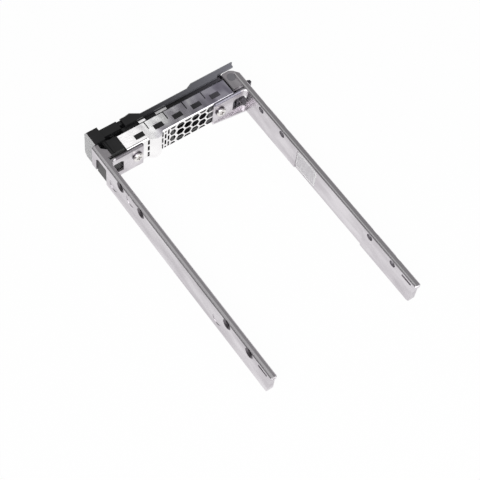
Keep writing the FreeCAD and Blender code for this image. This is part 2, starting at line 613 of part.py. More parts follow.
def emi_shield():
    """Folded spring-steel channel: sprung fingers above and below, a perforated rear wall."""
    body = new_body("emi_shield")
    wall = d.shield_wall
    section = new_sketch(body, "YZ_Plane", SHIELD_B)
    polygon(section, [
        (d.tab_front, d.rail_lift), (d.tab_front, RAIL_TOP), (d.finger_front, RAIL_TOP),
        (LIP, RAIL_TOP - d.lip_drop), (LIP, RAIL_TOP - d.lip_drop - wall),
        (d.finger_front + wall / 3, FRAME_HEAD), (FRAME_REAR, FRAME_HEAD),
        (FRAME_REAR, FRAME_FOOT), (d.finger_front + wall / 3, FRAME_FOOT),
        (LIP, d.rail_lift + d.lip_drop + wall), (LIP, d.rail_lift + d.lip_drop),
        (d.finger_front, d.rail_lift)])
    pad(body, section, SHIELD_A - SHIELD_B)
    fillet(body, d.shield_bend,
           lambda e: runs_along(e, 0) and (is_at(e, y=d.tab_front, z=RAIL_TOP)
                                           or is_at(e, y=d.tab_front, z=d.rail_lift)))
    fillet(body, d.shield_bend - wall,
           lambda e: runs_along(e, 0) and (is_at(e, y=FRAME_REAR, z=FRAME_HEAD)
                                           or is_at(e, y=FRAME_REAR, z=FRAME_FOOT)))

    bead_x = OUTER - d.bead_place
    bead_y = d.tab_front + d.bead_rise - d.bead_radius
    bead = new_sketch(body, "XY_Plane", d.rail_lift)
    circle(bead, (bead_x, bead_y), d.bead_radius)
    pad(body, bead, d.rail_height)
    hollow = new_sketch(body, "XY_Plane", FRAME_HEAD)
    circle(hollow, (bead_x, bead_y), d.bead_radius - wall)
    pocket(body, hollow, FRAME_HEAD - FRAME_FOOT)
    front = new_sketch(body, "XY_Plane", FRAME_HEAD)
    rectangle(front, bead_x - d.bead_radius - 0.5, bead_y - d.bead_radius - 0.5,
              bead_x + d.bead_radius + 0.5, FRAME_REAR)
    pocket(body, front, FRAME_HEAD - FRAME_FOOT)

    slit = new_sketch(body, "XY_Plane", RAIL_TOP + 1)
    rectangle(slit, d.finger_first - d.finger_slit / 2, d.finger_front,
              d.finger_first + d.finger_slit / 2, d.finger_root)
    cut = pocket(body, slit, d.rail_height + 2)
    repeat(body, cut, d.finger_pitch, d.finger_count - 1, back=True)
    hooks = new_sketch(body, "XY_Plane", RAIL_TOP - d.lip_drop - wall)
    for slit_x, wide in ((d.finger_first, d.hook_narrow),
                         (d.finger_first - d.finger_pitch, d.hook_broad)):
        rectangle(hooks, slit_x - wide / 2, LIP - d.hook_reach, slit_x + wide / 2, LIP + wall / 2)
    pad(body, hooks, wall)
    key_x = d.finger_first + d.finger_pitch / 2 + d.key_shift
    key = new_sketch(body, "XY_Plane", RAIL_TOP + 1)
    rectangle(key, key_x - d.key_wide / 2, d.key_middle - d.key_deep / 2,
              key_x + d.key_wide / 2, d.key_middle + d.key_deep / 2)
    cut = pocket(body, key, d.rail_height + 2)
    repeat(body, cut, d.finger_pitch, d.finger_count, back=True)

    low = d.rail_lift + d.cell_rim
    high = RAIL_TOP - d.cell_rim
    pitch = d.cell_flat + d.cell_web
    column = pitch * (math.sqrt(3) / 2)
    whole = (-1.5, -0.5, 0.5, 1.5)
    between = (-1, 0, 1)
    mesh = new_sketch(body, "XZ_Plane", -1 * (d.tab_front + 0.5))
    for row in between:
        cell(mesh, d.cell_first - column, MIDDLE + pitch * row, low, high)
    for row in whole:
        cell(mesh, d.cell_first - column * 2, MIDDLE + pitch * row, low, high)
    cut = pocket(body, mesh, wall + 1, along=True)
    repeat(body, cut, column * 2, d.cell_pairs, back=True)
    narrow = new_sketch(body, "XZ_Plane", -1 * (d.tab_front + 0.5))
    for row in whole:
        cell(narrow, d.cell_first, MIDDLE + pitch * row, low, high, d.cell_squeeze)
    pocket(body, narrow, wall + 1, along=True)
    for index in range(3):
        slots = new_sketch(body, "XZ_Plane", -1 * (d.tab_front + 0.5))
        at = d.cell_first + d.slot_first + d.slot_pitch * index
        for row in whole if index % 2 else between:
            cell(slots, at, MIDDLE + pitch * row, low, high, d.slot_cell / 2, slim=True)
        pocket(body, slots, wall + 1, along=True)
    flank = new_sketch(body, "XZ_Plane", -1 * (d.tab_front + d.bead_rise + 0.5))
    for row in (-1, 0, 1):
        cell(flank, bead_x + d.bead_radius - 0.6, MIDDLE + pitch * row, low, high,
             d.slot_cell / 2, slim=True)
    pocket(body, flank, wall + d.bead_rise + 1.4, along=True)
    screws = new_sketch(body, "XZ_Plane", -1 * (d.tab_front + 0.5))
    for side in (1, -1):
        circle(screws, (side * SCREW_X, SCREW_Z), d.tab_screw_radius + 0.1)
    pocket(body, screws, wall + 1, along=True)
    return body


# ----------------------------------------------------------------- front frame
def front_frame():
    """Moulded frame inside the shield, with the latch housing and the end block."""
    body = new_body("front_frame")
    ring = new_sketch(body, "XY_Plane", FRAME_FOOT)
    rectangle(ring, SHIELD_B, d.frame_step, SHIELD_A, FRAME_REAR)
    pad(body, ring, FRAME_HEAD - FRAME_FOOT)
    chamfer(body, d.shield_bend,
            lambda e: runs_along(e, 0) and abs(e.CenterOfMass.y - FRAME_REAR.number) < 1e-3)
    face = new_sketch(body, "XY_Plane", FRAME_FOOT + d.frame_lower)
    rectangle(face, SHIELD_B, d.frame_front, OUTER - d.button_in, d.frame_step)
    pad(body, face, FRAME_HEAD - FRAME_FOOT - 2 * d.frame_lower)
    housing = new_sketch(body, "XY_Plane", FRAME_FOOT)
    rectangle(housing, SHIELD_A, d.housing_front, HOUSING_X, FRAME_REAR)
    pad(body, housing, HOUSING_TOP - FRAME_FOOT)
    slope = new_sketch(body, "YZ_Plane", HOUSING_X + 0.5)
    polygon(slope, [(FRAME_REAR - d.housing_slope, HOUSING_TOP), (FRAME_REAR, HOUSING_TOP - d.housing_slope),
                    (FRAME_REAR + 1, HOUSING_TOP - d.housing_slope), (FRAME_REAR + 1, HOUSING_TOP + 1),
                    (FRAME_REAR - d.housing_slope, HOUSING_TOP + 1)])
    pocket(body, slope, HOUSING_X - SHIELD_A + 0.5)
    bridge = new_sketch(body, "XY_Plane", FRAME_FOOT)
    rectangle(bridge, HOUSING_X, d.window_front + d.window_slant, INNER, FRAME_REAR - d.frame_wall)
    pad(body, bridge, PIPE_LOW - d.key_play - FRAME_FOOT)
    key = new_sketch(body, "YZ_Plane", INNER)
    key_front = d.window_front + d.key_play
    key_rear = d.window_rear - d.key_play
    key_head = RAIL_TOP - d.window_head - d.key_play
    polygon(key, [(key_front, FRAME_FOOT), (key_rear, FRAME_FOOT), (key_rear, key_head),
                  (key_front + d.window_slant, key_head), (key_front, key_head - d.window_slant)])
    pad(body, key, d.rail_wall - d.key_sunk)
    neck = new_sketch(body, "XY_Plane", FRAME_FOOT)
    rectangle(neck, BLOCK_IN, d.bezel_rear - 0.5, HOUSING_X, d.housing_front)
    pad(body, neck, HOUSING_TOP - FRAME_FOOT)
    ribs = new_sketch(body, "XY_Plane", HOUSING_TOP)
    polygon(ribs, [(BLOCK_IN + d.rib_thin, d.housing_front), (BLOCK_IN + d.rib_thin, d.rib_rear),
                   (BLOCK_IN - d.rib_thin, d.rib_rear),
                   (BLOCK_IN + d.rib_thin - d.rib_wide, d.housing_front + d.rib_wide),
                   (BLOCK_IN + d.rib_thin - d.rib_wide, d.housing_front)])
    rectangle(ribs, HOUSING_X - 2 * d.rib_thin, d.housing_front, HOUSING_X - d.rib_thin, d.rib_rear / 2)
    pad(body, ribs, d.rib_high)
    block = new_sketch(body, "YZ_Plane", BLOCK_IN)
    polygon(block, [(d.bezel_front + d.bezel_corner, Size("0.0", 0.0)),
                    (d.bezel_rear, Size("0.0", 0.0)), (d.bezel_rear, BEZEL_HEAD),
                    (d.bezel_front, BEZEL_HEAD), (d.bezel_front, d.bezel_corner)])
    pad(body, block, BLOCK_OUT - d.cover_wall - BLOCK_IN)

    vents = new_sketch(body, "XZ_Plane", -1 * (FRAME_REAR + 0.5))
    half = d.frame_wall / 2
    edges = [(d.finger_first + half, SCREW_X - d.boss_half)]
    for index in range(int(d.finger_count.number) - 2):
        left = d.finger_first - d.finger_pitch * (index + 1) + half
        edges.append((left, left + d.finger_pitch - d.frame_wall))
    edges.append((SHIELD_B + d.frame_wall, -1 * SCREW_X - d.boss_half))
    for left, right in edges:
        rectangle(vents, left, FRAME_FOOT + d.frame_lower + d.frame_wall,
                  right, FRAME_HEAD - d.frame_lower - d.frame_wall)
    pocket(body, vents, FRAME_REAR - d.frame_front + 1, along=True)

    bores = new_sketch(body, "XZ_Plane", -1 * FRAME_REAR)
    for side in (1, -1):
        circle(bores, (side * SCREW_X, SCREW_Z), d.tab_screw_radius + 0.02)
    pocket(body, bores, d.tab_screw_long, along=True)

    well = new_sketch(body, "XZ_Plane", -1 * d.housing_front)
    rectangle(well, STEM_IN - d.button_play, STEM_LOW - d.button_play,
              STEM_OUT + d.button_play, STEM_LOW + d.stem_high + d.button_play)
    pocket(body, well, WELL_REAR - d.housing_front)

    pipes = new_sketch(body, "XZ_Plane", -1 * d.bezel_front)
    for low in (PIPE_LOW, PIPE_LOW + d.pipe_pitch):
        rectangle(pipes, PIPE_X, low, PIPE_X + d.pipe_size, low + d.pipe_size)
    pocket(body, pipes, d.bezel_rear - d.bezel_front + 0.1)
    return body


def end_plate():
    """Pale plate over the outer face of the end block."""
    body = new_body("end_plate")
    plate = new_sketch(body, "YZ_Plane", BLOCK_OUT - d.cover_wall)
    polygon(plate, [(d.bezel_front + d.bezel_corner, Size("0.0", 0.0)),
                    (d.bezel_rear, Size("0.0", 0.0)), (d.bezel_rear, BEZEL_HEAD),
                    (d.bezel_front, BEZEL_HEAD), (d.bezel_front, d.bezel_corner)])
    pad(body, plate, d.cover_wall)
    return body


def light_pipe(label, low):
    """Clear square rod from the front face back along the rail."""
    body = new_body(label)
    section = new_sketch(body, "XZ_Plane", -1 * d.bezel_front)
    rectangle(section, PIPE_X, low, PIPE_X + d.pipe_size, low + d.pipe_size)
    pad(body, section, d.pipe_rear - d.bezel_front, reverse=True)
    return body


# ----------------------------------------------------------------- fasteners and pin
def cross(sketch, x, z, arm, half):
    """Outline of a cross recess."""
    polygon(sketch, [(x - half, z - arm), (x + half, z - arm), (x + half, z - half),
                     (x + arm, z - half), (x + arm, z + half), (x + half, z + half),
                     (x + half, z + arm), (x - half, z + arm), (x - half, z + half),
                     (x - arm, z + half), (x - arm, z - half), (x - half, z - half)])


def tab_screw(label, side):
    """Pan-head screw through the tab and the shield into the frame."""
    body = new_body(label)
    shank = new_sketch(body, "XZ_Plane", -1 * TAB_REAR)
    circle(shank, (side * SCREW_X, SCREW_Z), d.tab_screw_radius)
    pad(body, shank, d.tab_screw_long)
    head = new_sketch(body, "XZ_Plane", -1 * TAB_REAR)
    circle(head, (side * SCREW_X, SCREW_Z), d.tab_head_radius)
    pad(body, head, d.tab_head_high, reverse=True)
    top = TAB_REAR + d.tab_head_high
    fillet(body, d.tab_head_high / 2, lambda e: abs(e.CenterOfMass.y - top.number) < 1e-3)
    recess = new_sketch(body, "XZ_Plane", -1 * top)
    cross(recess, side * SCREW_X, SCREW_Z, d.tab_head_radius * 0.5, d.tab_head_radius * 0.14)
    pocket(body, recess, d.tab_head_high * 0.6, along=True)
    return body


def hinge_pin():
    """Pin through both cheeks, its head sunk flush with the upper one."""
    body = new_body("hinge_pin")
    profile = new_sketch(body, "XY_Plane", d.rail_lift)
    circle(profile, (PIVOT_X, d.pivot_back), d.pin_radius)
    pad(body, profile, CHEEK_TOP - d.rail_lift)
    head = new_sketch(body, "XY_Plane", CHEEK_TOP - d.pin_sunk)
    circle(head, (PIVOT_X, d.pivot_back), PIN_HEAD)
    pad(body, head, d.pin_sunk)
    return body


def hinge_washer(label, low):
    body = new_body(label)
    ring = new_sketch(body, "XY_Plane", low)
    circle(ring, (PIVOT_X, d.pivot_back), d.pin_radius + d.washer_rim)
    circle(ring, (PIVOT_X, d.pivot_back), d.pin_radius + 0.02)
    pad(body, ring, d.washer_wall)
    return body


def coil(radius, wire, pitch, turns, leg=0.0):
    """Wire of six-sided section wound about +Z from z = 0, with a straight leg at its end."""
    corners = [(wire * math.cos(math.pi * (2 * side + 1) / 6),
                wire * math.sin(math.pi * (2 * side + 1) / 6)) for side in range(7)]
    helix = Part.makeHelix(pitch, pitch * turns, radius)
    start = Part.makePolygon([Vector(radius + out, 0, up) for out, up in corners])
    shape = Part.Wire(helix.Edges).makePipeShell([start], True, True)
    if leg:
        turn = 2 * math.pi * turns
        away = Vector(math.cos(turn), math.sin(turn), 0)
        end = away * radius + Vector(0, 0, pitch * turns)
        section = Part.makePolygon([end + away * out + Vector(0, 0, up) for out, up in corners])
        ahead = Vector(-math.sin(turn), math.cos(turn), 0)
        shape = shape.fuse(Part.Face(section).extrude(ahead * leg))
    return shape


def add_shape(label, shape, placement):
    """A shape made with Part's own functions, placed after it is set."""
    item = doc.addObject("Part::Feature", label)
    item.Label = label
    item.Shape = shape
    item.Placement = placement
    return item


def lever_spring():
    """Torsion spring round the knuckle's neck, one leg against the frame's side."""
    wire = d.coil_wire.number
    leg = SHIELD_B.number - PIVOT_X.number - 0.1
    radius = NECK.number + d.coil_gap.number + wire
    shape = coil(radius, wire, d.coil_pitch.number, d.coil_turns.number, leg)
    return add_shape("lever_spring", shape, Placement(
        Vector(PIVOT_X.number, d.pivot_back.number, KNUCKLE_STEP.number + wire + 0.1), Rotation()))


# ----------------------------------------------------------------- lever
def knuckle(body, low, high, radius):
    """Round boss of the lever about the hinge pin."""
    boss = new_sketch(body, "XY_Plane", low)
    circle(boss, (PIVOT_X, d.pivot_back), radius)
    pad(body, boss, high - low)


def lever_arm():
    """Cast lever: knuckle, ejector tooth and the beam that the handle is screwed to."""
    body = new_body("lever_arm")
    knuckle(body, KNUCKLE_LOW, KNUCKLE_STEP, KNUCKLE)
    knuckle(body, KNUCKLE_STEP, KNUCKLE_HIGH, NECK)

    tooth = new_sketch(body, "XY_Plane", TOOTH_FOOT)
    back = d.pivot_back + d.tooth_back
    tip = PIVOT_X - d.tooth_reach
    rise = d.tooth_radius
    polygon(tooth, [(PIVOT_X - KNUCKLE * 0.6, d.pivot_back + 1),
                    (PIVOT_X + KNUCKLE * 0.6, d.pivot_back + 1),
                    (PIVOT_X + 1.2, back), (PIVOT_X + 0.1, back + rise),
                    (tip + rise * 0.4, back + rise), (tip - rise * 0.6, back + rise * 0.5),
                    (tip - rise * 0.6, back - rise * 0.5), (tip + rise * 0.4, back - rise),
                    (PIVOT_X - KNUCKLE, back - rise)])
    pad(body, tooth, KNUCKLE_STEP - TOOTH_FOOT)

    beam = new_sketch(body, "XY_Plane", BEAM_FOOT)
    front = d.grip_front + d.grip_skin
    end = -1 * (OUTER - d.waist_end) - d.waist_ramp - d.beam_short
    polygon(beam, [(PIVOT_X - 1.8, front), (end, front), (end, d.beam_rear),
                   (PIVOT_X + 3.4, d.beam_rear), (PIVOT_X + 2.0, d.pivot_back - 1),
                   (PIVOT_X - 1.8, d.pivot_back - 1)])
    pad(body, beam, KNUCKLE_STEP - BEAM_FOOT)
    rise_x = PIVOT_X + 3.4
    spine = new_sketch(body, "XY_Plane", KNUCKLE_STEP)
    rectangle(spine, rise_x, front, end, d.beam_rear)
    pad(body, spine, BEAM_HEAD - KNUCKLE_STEP)

    bore = new_sketch(body, "XY_Plane", KNUCKLE_HIGH + 1)
    circle(bore, (PIVOT_X, d.pivot_back), d.pin_radius + d.pin_fit)
    pocket(body, bore, KNUCKLE_HIGH - KNUCKLE_LOW + 2)
    holes = new_sketch(body, "XZ_Plane", -1 * d.beam_rear)
    for place_in in (d.grip_screw_a, d.grip_screw_b):
        circle(holes, (-1 * (OUTER - place_in), MIDDLE), d.grip_screw_radius + 0.02)
    pocket(body, holes, d.beam_rear - front, along=True)
    seats = new_sketch(body, "XZ_Plane", -1 * d.beam_rear)
    for place_in in (d.grip_screw_a, d.grip_screw_b):
        circle(seats, (-1 * (OUTER - place_in), MIDDLE), d.grip_head_radius + 0.05)
    pocket(body, seats, Size("0.7", 0.7), along=True)
    return body


def handle_cover():
    """Moulded handle: a channel open to the rear, with vents and a finger bump."""
    body = new_body("handle_cover")
    end = OUTER - d.grip_end
    hinge = -1 * OUTER
    near = OUTER - d.bump_near
    far = OUTER - d.bump_far
    waist = -1 * (OUTER - d.waist_end)
    thick = waist - d.waist_ramp
    plan = new_sketch(body, "XY_Plane", GRIP_FOOT)
    notch = hinge + d.notch_deep
    prong = hinge + d.notch_short
    polygon(plan, [(end, d.grip_rear), (end, d.grip_tip), (near + 2.4, d.grip_tip),
                   (near, d.grip_bump), (far, d.grip_waist),
                   (waist, d.grip_waist), (thick, d.grip_front), (hinge, d.grip_front),
                   (hinge, d.notch_front), (notch, d.notch_front), (notch, d.notch_rear),
                   (prong, d.notch_rear), (prong, GRIP_BACK),
                   (-1 * (OUTER - d.grip_back_end), GRIP_BACK),
                   (-1 * (OUTER - d.grip_back_end - 1), d.grip_rear)])
    pad(body, plan, GRIP_HEAD - GRIP_FOOT)
    chamfer(body, d.grip_edge,
            lambda e: is_at(e, z=GRIP_HEAD) and e.CenterOfMass.y < float(d.grip_waist) + 1e-3
            and e.CenterOfMass.x > float(hinge) + 1e-3 and not runs_along(e, 1)
            and e.Length > float(d.notch_deep) + 1e-3)
    skin = d.grip_skin
    hollow = new_sketch(body, "XY_Plane", GRIP_FOOT + d.grip_lip)
    polygon(hollow, [(end + 1, d.grip_rear + 1), (end + 1, GRIP_BACK),
                     (end - skin, GRIP_BACK), (end - skin, d.grip_tip + skin),
                     (near + 1.0, d.grip_tip + skin), (far - 0.5, d.grip_waist + skin),
                     (waist - 0.2, d.grip_waist + skin), (thick - 0.2, d.grip_front + skin),
                     (hinge - 1, d.grip_front + skin), (hinge - 1, d.grip_rear + 1)])
    pocket(body, hollow, GRIP_HEAD - GRIP_FOOT - 2 * d.grip_lip, along=True)
    gate = new_sketch(body, "XZ_Plane", -1 * (d.grip_front - 1))
    rectangle(gate, hinge - 1, GRIP_FOOT + d.grip_rim,
              -1 * (OUTER - d.grip_open), GRIP_HEAD - d.grip_rim)
    pocket(body, gate, skin + 2)
    vents = new_sketch(body, "XZ_Plane", -1 * (d.grip_waist - 1))
    first = (far - 1.0 + waist) / 2 - d.vent_pitch * (d.vent_count - 1) / 2
    rectangle(vents, first - d.vent_wide / 2, MIDDLE - d.vent_high / 2,
              first + d.vent_wide / 2, MIDDLE + d.vent_high / 2)
    cut = pocket(body, vents, skin + 1.2)
    repeat(body, cut, d.vent_pitch, d.vent_count)
    tongue = new_sketch(body, "XY_Plane", MIDDLE - 3)
    rectangle(tongue, end, d.grip_tip + 1.0, end + d.tongue_reach, d.grip_tip + 2.3)
    pad(body, tongue, Size("6.0", 6.0))
    holes = new_sketch(body, "XZ_Plane", -1 * (d.grip_front + skin))
    for place_in in (d.grip_screw_a, d.grip_screw_b):
        circle(holes, (-1 * (OUTER - place_in), MIDDLE), d.grip_screw_radius + 0.02)
    pocket(body, holes, Size("0.9", 0.9), along=True)
    return body


def handle_screw(label, place_in):
    """Small flat-head screw that holds the handle to the lever."""
    body = new_body(label)
    x = -1 * (OUTER - place_in)
    front = d.grip_front + d.grip_skin
    head = new_sketch(body, "XZ_Plane", -1 * d.beam_rear)
    circle(head, (x, MIDDLE), d.grip_head_radius)
    pad(body, head, Size("0.7", 0.7))
    shank = new_sketch(body, "XZ_Plane", -1 * d.beam_rear)
    circle(shank, (x, MIDDLE), d.grip_screw_radius)
    pad(body, shank, d.beam_rear - front + 0.9)
    recess = new_sketch(body, "XZ_Plane", -1 * d.beam_rear)
    cross(recess, x, MIDDLE, d.grip_head_radius * 0.55, d.grip_head_radius * 0.15)
    pocket(body, recess, Size("0.4", 0.4), along=True)
    return body


# ----------------------------------------------------------------- release button
def release_button():
    """Push button with a stem that slides in the latch housing, and a catch."""
    body = new_body("release_button")
    head = new_sketch(body, "XY_Plane", d.rail_lift)
    left = OUTER - d.button_in + d.button_play
    right = BLOCK_IN - d.button_play
    rectangle(head, left, d.button_front, right, BUTTON_REAR)
    pad(body, head, d.rail_height - d.button_drop)
    fillet(body, Size("0.5", 0.5), lambda e: runs_along(e, 0) and is_at(e, y=d.button_front))
    stem = new_sketch(body, "XY_Plane", STEM_LOW)
    rectangle(stem, STEM_IN, BUTTON_REAR, STEM_OUT, d.stem_rear)
    pad(body, stem, d.stem_high)
    return body


def button_spring():
    """Compression spring between the button's stem and the end of its well."""
    wire = d.push_wire.number
    length = WELL_REAR.number - d.stem_rear.number
    pitch = (length - 2 * wire) / d.push_turns.number
    shape = coil(d.push_radius.number, wire, pitch, d.push_turns.number)
    middle = Vector((STEM_IN.number + STEM_OUT.number) / 2, d.stem_rear.number + wire,
                    STEM_LOW.number + d.stem_high.number / 2)
    return add_shape("button_spring", shape, Placement(middle, Rotation(Vector(1, 0, 0), -90)))


button_side_rail()
hinge_side_rail()
emi_shield()
front_frame()
end_plate()
light_pipe("light_pipe_lower", PIPE_LOW)
light_pipe("light_pipe_upper", PIPE_LOW + d.pipe_pitch)
tab_screw("tab_screw_button_side", 1)
tab_screw("tab_screw_hinge_side", -1)
hinge_pin()
hinge_washer("hinge_washer_lower", CHEEK_LOW)
hinge_washer("hinge_washer_upper", CHEEK_HIGH - d.washer_wall)
lever_spring()
lever_arm()
handle_cover()
handle_screw("handle_screw_outer", d.grip_screw_a)
handle_screw("handle_screw_inner", d.grip_screw_b)
release_button()
button_spring()

# ----------------------------------------------------------------- checks and export
doc.recompute()
for item in doc.Objects:
    if "Invalid" in item.State or "Error" in item.State:
        raise RuntimeError("%s did not build: %s" % (item.Label, item.State))
pieces = [item for item in doc.Objects if item.TypeId in ("PartDesign::Body", "Part::Feature")]
for piece in pieces:
    if piece.Shape.isNull() or not piece.Shape.isValid():
        raise RuntimeError("%s has no valid shape" % piece.Label)
    if len(piece.Shape.Solids) != 1:
        raise RuntimeError("%s has %d solids" % (piece.Label, len(piece.Shape.Solids)))
for piece in pieces:
    piece.Shape.exportStep("parts/%s.step" % piece.Label)
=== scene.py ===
"""Looks of the hot swap drive carrier: finishes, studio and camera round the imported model."""
import math

import bpy
import numpy as np
from mathutils import Matrix, Vector


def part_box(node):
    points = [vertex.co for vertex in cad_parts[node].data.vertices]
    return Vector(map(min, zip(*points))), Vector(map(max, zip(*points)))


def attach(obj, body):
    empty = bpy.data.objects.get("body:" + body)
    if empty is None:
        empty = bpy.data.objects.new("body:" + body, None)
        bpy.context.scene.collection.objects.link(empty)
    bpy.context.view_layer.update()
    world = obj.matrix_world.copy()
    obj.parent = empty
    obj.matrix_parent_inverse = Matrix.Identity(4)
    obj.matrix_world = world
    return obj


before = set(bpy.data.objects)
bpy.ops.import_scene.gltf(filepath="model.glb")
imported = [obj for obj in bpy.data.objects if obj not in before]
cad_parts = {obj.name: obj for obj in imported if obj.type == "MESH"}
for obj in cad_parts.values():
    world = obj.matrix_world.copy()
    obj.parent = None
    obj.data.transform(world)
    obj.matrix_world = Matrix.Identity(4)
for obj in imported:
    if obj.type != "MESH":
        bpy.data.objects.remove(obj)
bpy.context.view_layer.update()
MM = 0.001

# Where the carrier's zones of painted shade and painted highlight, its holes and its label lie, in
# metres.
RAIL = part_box("button_side_rail")
RAIL_TOP = RAIL[1][2]
RAIL_OUT = RAIL[1][0]
DRESSED_STRIP = 1.2 * MM        # width of the painted highlight strip along a top's button-side edge
LIGHT_LINE = 2.0 * MM           # painted highlight line on the hinge-side rail's top, from its outer face
TAB_REACH = 5.2 * MM            # where the painted shade on a cross tab's top starts, from the outer face
HOLES_MIDDLE = 67.75 * MM       # middle of a rail's hole pattern, along the rail
HOLES_HALF_PITCH = 38.3 * MM    # half the distance between the two pairs of holes
HOLES_HALF_STEP = 7.55 * MM     # half the distance between the two holes of a pair
HOLE_DROP = 2.3 * MM            # rail top to a hole's axis
HOLE_MOUTH = 2.75 * MM          # radius of a countersink's mouth
LABEL_MIDDLE = (54.6, 6.9)      # middle of the label along and up the rail, in millimetres

# Where the camera stands. FOCAL and AXIS are in units of which the view is SIDE wide.
TARGET = Vector((0.0, 68.9 * MM, 0.9 * MM))
BACK = Vector((0.354, 0.364, 0.862)).normalized()
DISTANCE = 585.5 * MM
ROLL = math.radians(9.44)
SIDE = 480
FOCAL = 1390.6
AXIS = (257.5, 239.55)
SENSOR = 36.0


# ------------------------------------------------------------------ colours and nodes
def linear(hex_colour):
    """sRGB hex to linear RGBA: c/12.92 under 0.04045, else ((c + 0.055)/1.055)**2.4."""
    parts = [int(hex_colour[k:k + 2], 16) / 255 for k in (1, 3, 5)]
    return [c / 12.92 if c <= 0.04045 else ((c + 0.055) / 1.055) ** 2.4 for c in parts] + [1.0]


def add(tree, kind, inputs=None, stops=(), **settings):
    """Add one node with its settings and links.

    inputs maps a socket to a value, to the node whose first output feeds it, or to a pair of a
    node and one of its outputs. stops are a colour ramp's pairs of position and hex colour."""
    made = tree.nodes.new(kind)
    for name, value in settings.items():
        setattr(made, name, value)
    for name, value in (inputs or {}).items():
        paired = isinstance(value, tuple) and hasattr(value[0], "outputs")
        node, output = value if paired else (value, 0)
        if hasattr(node, "outputs"):
            tree.links.new(node.outputs[output], made.inputs[name])
        else:
            made.inputs[name].default_value = value
    if stops:
        elements = made.color_ramp.elements
        while len(elements) < len(stops):
            elements.new(0.5)
        for element, (place, shade) in zip(elements, stops):
            element.position = place
            element.color = linear(shade)
    return made


def new_material(name):
    material = bpy.data.materials.new(name)
    material.use_nodes = True
    material.node_tree.nodes.clear()
    return material, material.node_tree


def spot(tree):
    """A point's X, Y and Z in object space, in metres."""
    place = add(tree, "ShaderNodeTexCoord")
    parts = add(tree, "ShaderNodeSeparateXYZ", {"Vector": (place, "Object")})
    return [(parts, axis) for axis in "XYZ"]


def grain(tree, size_mm, stretch=(1, 1, 1), detail=3.0):
    """Noise in object space whose blobs are about size_mm wide, drawn out along stretch."""
    place = add(tree, "ShaderNodeTexCoord")
    scaled = add(tree, "ShaderNodeMapping", {"Vector": (place, "Object"), "Scale": stretch})
    return add(tree, "ShaderNodeTexNoise", {"Vector": scaled, "Scale": 1 / (size_mm * MM),
                                            "Detail": detail})


def away(tree, value, middle):
    """Distance of a value from middle, whichever side it lies on."""
    off = add(tree, "ShaderNodeMath", {0: value, 1: middle}, operation="SUBTRACT")
    return add(tree, "ShaderNodeMath", {0: off}, operation="ABSOLUTE")


def zone(tree, *edges):
    """Share of the surface inside all edges, 0 to 1.

    An edge (value, outside, inside) grows in a straight line from 0 where the value is outside
    to 1 where it is inside. The share is the product of the edges."""
    share = None
    for value, outside, inside in edges:
        step = add(tree, "ShaderNodeMapRange", {"Value": value, "From Min": outside,
                                                "From Max": inside})
        share = step if share is None else add(tree, "ShaderNodeMath", {0: share, 1: step},
                                               operation="MULTIPLY")
    return share


def coat(tree, shade, *layers, blend="MIX"):
    """Lay tones over a shade, one after the other. A layer is its share and its tone."""
    for share, tone in layers:
        tone = linear(tone) if isinstance(tone, str) else tone
        shade = add(tree, "ShaderNodeMix", {0: share, 6: shade, 7: tone}, data_type="RGBA",
                    blend_type=blend), 2
    return shade


def metal(name, dark, light, rough, grain_mm, bump, stretch=(1, 1, 1), wave=0.0, tint=None):
    """A bare metal: colour wanders between dark and light, roughness and height with the grain.

    wave is the height in millimetres of the long swells that a pressed sheet keeps. tint may
    change the colour before it reaches the shader."""
    material, tree = new_material(name)
    cloud = grain(tree, 7.0, (1, 0.3, 1))
    fine = grain(tree, grain_mm, stretch)
    shade = add(tree, "ShaderNodeValToRGB", {"Fac": cloud}, [(0.35, dark), (0.65, light)])
    if tint:
        shade = tint(tree, shade)
    rougher = add(tree, "ShaderNodeMapRange", {"Value": fine, "From Min": 0.3, "From Max": 0.7,
                                               "To Min": rough * 0.8, "To Max": rough * 1.2})
    swell = add(tree, "ShaderNodeBump", {"Height": grain(tree, 9.0, detail=1.0),
                                         "Strength": 1.0, "Distance": wave * MM})
    height = add(tree, "ShaderNodeBump", {"Height": fine, "Strength": bump,
                                          "Distance": 0.02 * MM, "Normal": swell})
    shader = add(tree, "ShaderNodeBsdfPrincipled", {
        "Base Color": shade, "Metallic": 1.0, "Roughness": rougher, "Normal": height})
    add(tree, "ShaderNodeOutputMaterial", {"Surface": shader})
    return material


def plastic(name, dark, light, rough, bump=0.25, tint=None):
    """A moulded plastic with the fine spark-eroded grain of its tool."""
    material, tree = new_material(name)
    shade = add(tree, "ShaderNodeValToRGB", {"Fac": grain(tree, 12.0)},
                [(0.3, dark), (0.7, light)])
    if tint:
        shade = tint(tree, shade)
    height = add(tree, "ShaderNodeBump", {"Height": grain(tree, 0.35), "Strength": bump,
                                          "Distance": 0.03 * MM})
    shader = add(tree, "ShaderNodeBsdfPrincipled", {
        "Base Color": shade, "Roughness": rough, "IOR": 1.5, "Normal": height})
    add(tree, "ShaderNodeOutputMaterial", {"Surface": shader})
    return material
